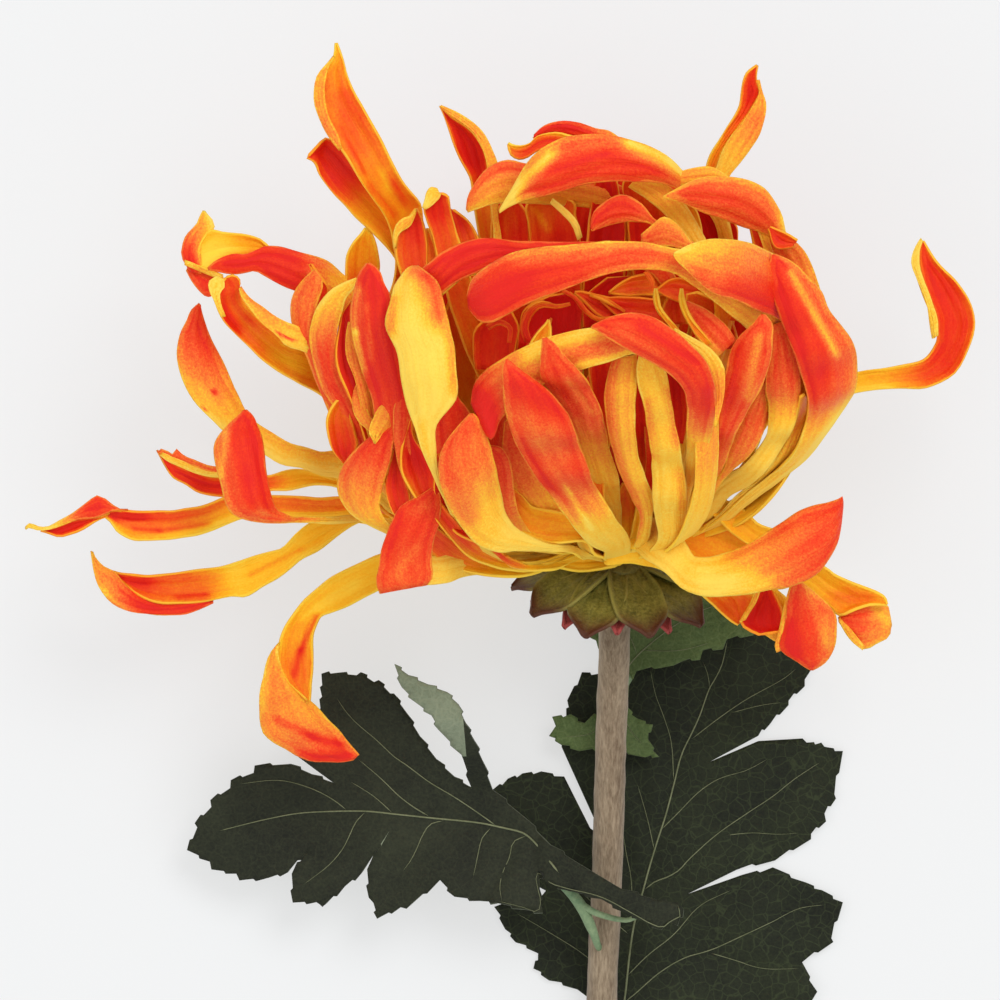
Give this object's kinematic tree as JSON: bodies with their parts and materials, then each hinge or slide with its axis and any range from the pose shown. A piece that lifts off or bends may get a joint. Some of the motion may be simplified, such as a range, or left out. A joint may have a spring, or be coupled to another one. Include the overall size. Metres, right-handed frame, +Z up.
{
  "type": "chrysanthemum",
  "caption": "Cut chrysanthemum lying down: a shaggy incurved bloom of curling orange petals on a leafy stem.",
  "frame": {"origin": "on the table, under the middle of the whole flower's box", "axes": "+Y from the stem's cut end towards the bloom, +Z up from the table that the flower lies on"},
  "size_m": [0.1808, 0.2557, 0.0975],
  "materials": {
    "petal": "satin, mottled red to yellow",
    "calyx_green": "matte, olive with dark red tips",
    "felted_stem": "felted, beige",
    "leaf_dark": "matte, dark green with paler veins",
    "leaf_light": "matte, green with paler veins"
  },
  "bodies": {
    "root": {"bloom": "petal", "calyx": "calyx_green", "stem": "felted_stem", "leaf_left": "leaf_dark", "leaf_right": "leaf_dark", "leaf_upper": "leaf_light"}
  },
  "joints": []
}
